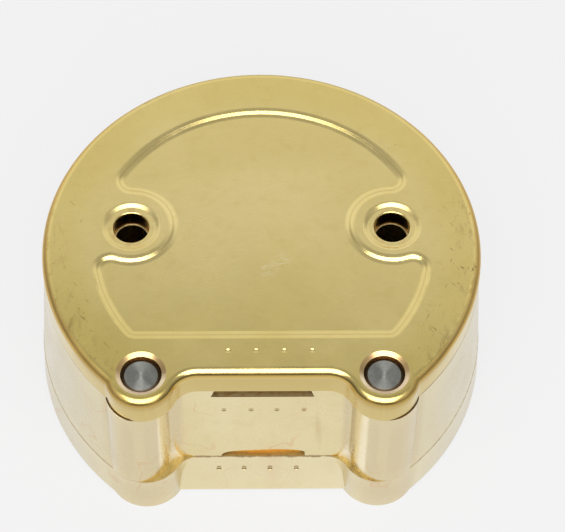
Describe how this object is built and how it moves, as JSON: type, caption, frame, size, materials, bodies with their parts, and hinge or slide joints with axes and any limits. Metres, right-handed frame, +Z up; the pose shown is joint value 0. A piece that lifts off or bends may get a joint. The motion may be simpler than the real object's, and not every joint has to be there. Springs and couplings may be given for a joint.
{
  "type": "dental flask",
  "caption": "Brass denture flask with base, ring and lid stacked on two steel guide pins, loose knock-out plate inside, open moulding space.",
  "frame": {"origin": "centre of the knock-out opening in the underside of the base, on the plane the flask stands on", "axes": "+Z up along the guide pins, -Y towards the flat heel side with the two pin bosses, X across between the pins"},
  "size_m": [0.11, 0.1005, 0.047],
  "materials": {
    "brass": "satin",
    "steel": "turned"
  },
  "bodies": {
    "base": {"base": "brass", "guide_pin_left": "steel", "guide_pin_right": "steel"},
    "upper_ring": {"upper_ring": "brass"},
    "lid": {"lid": "brass"},
    "ejector_plate": {"ejector_plate": "brass"}
  },
  "joints": [
    {"name": "ring_lift", "type": "slide", "parent": "base", "child": "upper_ring", "axis": [0, 0, 1], "range_m": [0, 0.04]},
    {"name": "lid_lift", "type": "slide", "parent": "upper_ring", "child": "lid", "axis": [0, 0, 1], "range_m": [0, 0.025]},
    {"name": "plate_lift", "type": "slide", "parent": "base", "child": "ejector_plate", "axis": [0, 0, 1], "range_m": [0, 0.02]}
  ]
}
